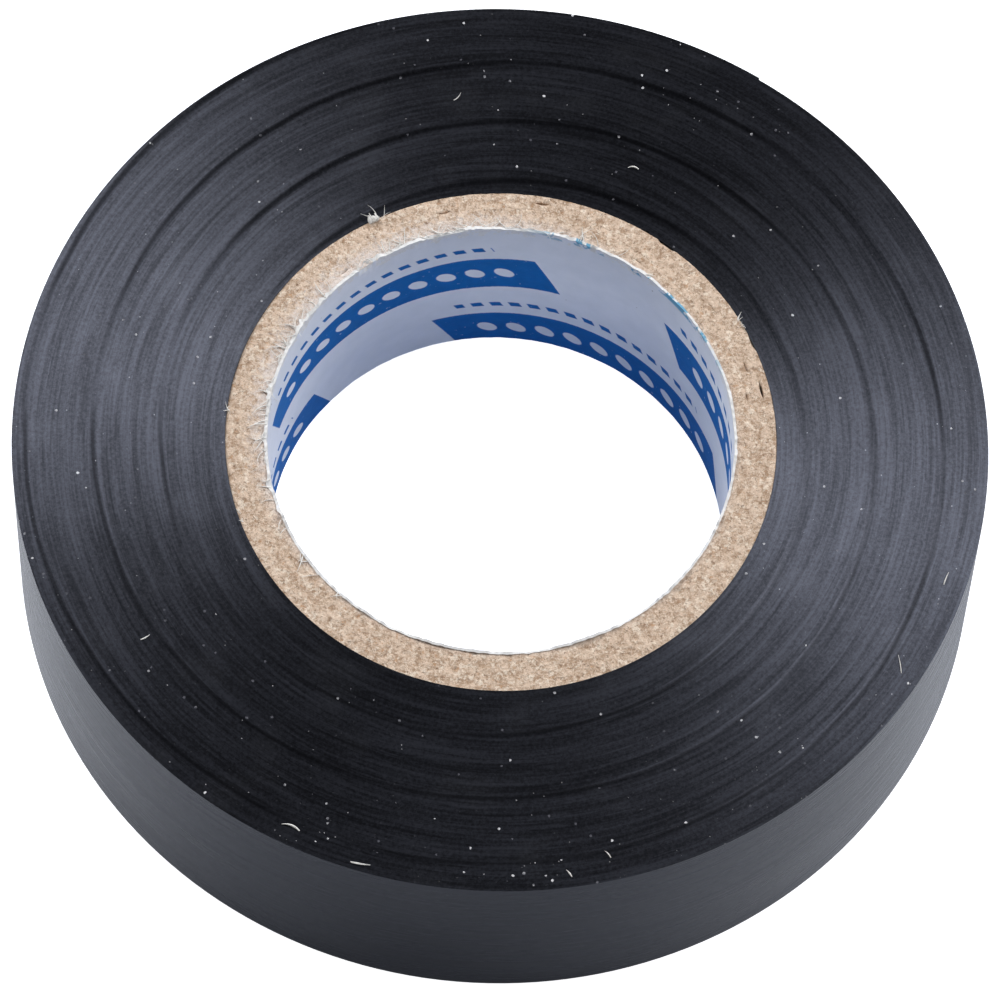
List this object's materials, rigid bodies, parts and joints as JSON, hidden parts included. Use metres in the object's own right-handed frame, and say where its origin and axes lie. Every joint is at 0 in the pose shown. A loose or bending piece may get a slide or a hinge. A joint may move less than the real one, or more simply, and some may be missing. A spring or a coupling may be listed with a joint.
{
  "type": "electrical tape roll",
  "caption": "Roll of black PVC insulating tape wound on a chipboard core with a paper liner, with a free end that peels off the outermost turn.",
  "frame": {"origin": "on the roll's axis, at the bottom end face of the wound tape", "axes": "+Z along the roll's axis, up from the face that it rests on. The tape's cut end is 60 degrees counter-clockwise from +X, seen from above, on the side away from -Y."},
  "size_m": [0.0747, 0.0749, 0.019],
  "materials": {
    "black_pvc": "satin black PVC film",
    "chipboard": "raw cut grey-brown chipboard",
    "liner_paper": "white printed paper"
  },
  "bodies": {
    "roll": {"core_liner": "liner_paper", "core_ply_1": "chipboard", "core_ply_2": "chipboard", "core_ply_3": "chipboard", "core_ply_4": "chipboard", "core_ply_5": "chipboard", "wound_tape": "black_pvc"},
    "tail_01": {"tail_link_01": "black_pvc"},
    "tail_02": {"tail_link_02": "black_pvc"},
    "tail_03": {"tail_link_03": "black_pvc"},
    "tail_04": {"tail_link_04": "black_pvc"},
    "tail_05": {"tail_link_05": "black_pvc"},
    "tail_06": {"tail_link_06": "black_pvc"},
    "tail_07": {"tail_link_07": "black_pvc"},
    "tail_08": {"tail_link_08": "black_pvc"},
    "tail_09": {"tail_link_09": "black_pvc"},
    "tail_10": {"tail_link_10": "black_pvc"},
    "tail_11": {"tail_link_11": "black_pvc"},
    "tail_12": {"tail_link_12": "black_pvc"}
  },
  "joints": [
    {"name": "tail_peel", "type": "hinge", "parent": "roll", "child": "tail_01", "pos_m": [-0.03242, 0.01872, 0.0095], "axis": [0, 0, 1], "range_deg": [0, 10]},
    {"name": "tail_bend_02", "type": "hinge", "parent": "tail_01", "child": "tail_02", "pos_m": [-0.0297, 0.02279, 0.0095], "axis": [0, 0, 1], "range_deg": [0, 10]},
    {"name": "tail_bend_03", "type": "hinge", "parent": "tail_02", "child": "tail_03", "pos_m": [-0.02647, 0.02647, 0.0095], "axis": [0, 0, 1], "range_deg": [0, 10]},
    {"name": "tail_bend_04", "type": "hinge", "parent": "tail_03", "child": "tail_04", "pos_m": [-0.02279, 0.0297, 0.0095], "axis": [0, 0, 1], "range_deg": [0, 10]},
    {"name": "tail_bend_05", "type": "hinge", "parent": "tail_04", "child": "tail_05", "pos_m": [-0.01872, 0.03243, 0.0095], "axis": [0, 0, 1], "range_deg": [0, 10]},
    {"name": "tail_bend_06", "type": "hinge", "parent": "tail_05", "child": "tail_06", "pos_m": [-0.01433, 0.0346, 0.0095], "axis": [0, 0, 1], "range_deg": [0, 10]},
    {"name": "tail_bend_07", "type": "hinge", "parent": "tail_06", "child": "tail_07", "pos_m": [-0.00969, 0.03618, 0.0095], "axis": [0, 0, 1], "range_deg": [0, 10]},
    {"name": "tail_bend_08", "type": "hinge", "parent": "tail_07", "child": "tail_08", "pos_m": [-0.00489, 0.03713, 0.0095], "axis": [0, 0, 1], "range_deg": [0, 10]},
    {"name": "tail_bend_09", "type": "hinge", "parent": "tail_08", "child": "tail_09", "pos_m": [0, 0.03746, 0.0095], "axis": [0, 0, 1], "range_deg": [0, 10]},
    {"name": "tail_bend_10", "type": "hinge", "parent": "tail_09", "child": "tail_10", "pos_m": [0.00489, 0.03714, 0.0095], "axis": [0, 0, 1], "range_deg": [0, 10]},
    {"name": "tail_bend_11", "type": "hinge", "parent": "tail_10", "child": "tail_11", "pos_m": [0.0097, 0.03619, 0.0095], "axis": [0, 0, 1], "range_deg": [0, 10]},
    {"name": "tail_bend_12", "type": "hinge", "parent": "tail_11", "child": "tail_12", "pos_m": [0.01434, 0.03461, 0.0095], "axis": [0, 0, 1], "range_deg": [0, 10]}
  ],
  "couplings": [
    {"joint": "tail_bend_02", "follows": "tail_peel", "ratio": 1},
    {"joint": "tail_bend_03", "follows": "tail_peel", "ratio": 1},
    {"joint": "tail_bend_04", "follows": "tail_peel", "ratio": 1},
    {"joint": "tail_bend_05", "follows": "tail_peel", "ratio": 1},
    {"joint": "tail_bend_06", "follows": "tail_peel", "ratio": 1},
    {"joint": "tail_bend_07", "follows": "tail_peel", "ratio": 1},
    {"joint": "tail_bend_08", "follows": "tail_peel", "ratio": 1},
    {"joint": "tail_bend_09", "follows": "tail_peel", "ratio": 1},
    {"joint": "tail_bend_10", "follows": "tail_peel", "ratio": 1},
    {"joint": "tail_bend_11", "follows": "tail_peel", "ratio": 1},
    {"joint": "tail_bend_12", "follows": "tail_peel", "ratio": 1}
  ]
}
